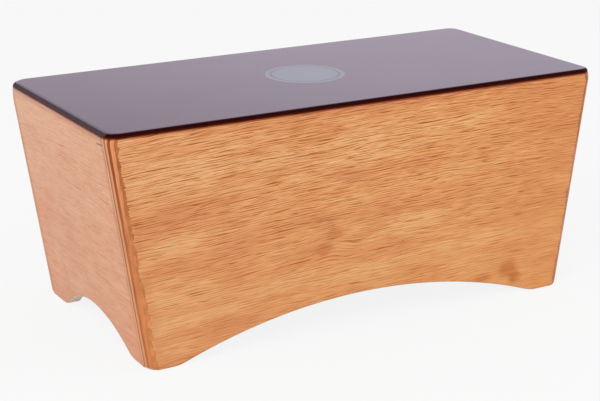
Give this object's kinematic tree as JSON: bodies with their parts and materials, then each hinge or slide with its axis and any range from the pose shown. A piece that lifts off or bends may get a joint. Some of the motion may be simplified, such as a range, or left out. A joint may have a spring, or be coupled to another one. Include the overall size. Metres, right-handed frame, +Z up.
{
  "type": "bongo cajon",
  "caption": "Tapered wooden box drum with a thin dark playing surface over divided sound chambers, arched lower edges and an open underside, played by hand.",
  "frame": {"origin": "on the floor, under the middle of the box, with the feet at z = 0", "axes": "+X along the length to the right of someone who faces the front, +Y from the front face to the rear face, +Z up"},
  "size_m": [0.4, 0.186, 0.17],
  "materials": {
    "veneered_plywood": "satin lacquer over a golden open-pored veneer, with the plies bare at the edges",
    "dark_plate": "dark maroon brown with a satin gloss",
    "plain_plywood": "bare, sanded",
    "softwood": "bare, sawn"
  },
  "bodies": {
    "root": {"playing_surface": "dark_plate", "front_panel": "veneered_plywood", "rear_panel": "veneered_plywood", "left_end_panel": "veneered_plywood", "right_end_panel": "veneered_plywood", "chamber_divider": "plain_plywood", "left_end_lining": "softwood", "right_end_lining": "softwood", "front_left_lining": "softwood", "front_right_lining": "softwood", "rear_left_lining": "softwood", "rear_right_lining": "softwood", "front_left_corner_block": "softwood", "front_right_corner_block": "softwood", "rear_left_corner_block": "softwood", "rear_right_corner_block": "softwood"}
  },
  "joints": []
}
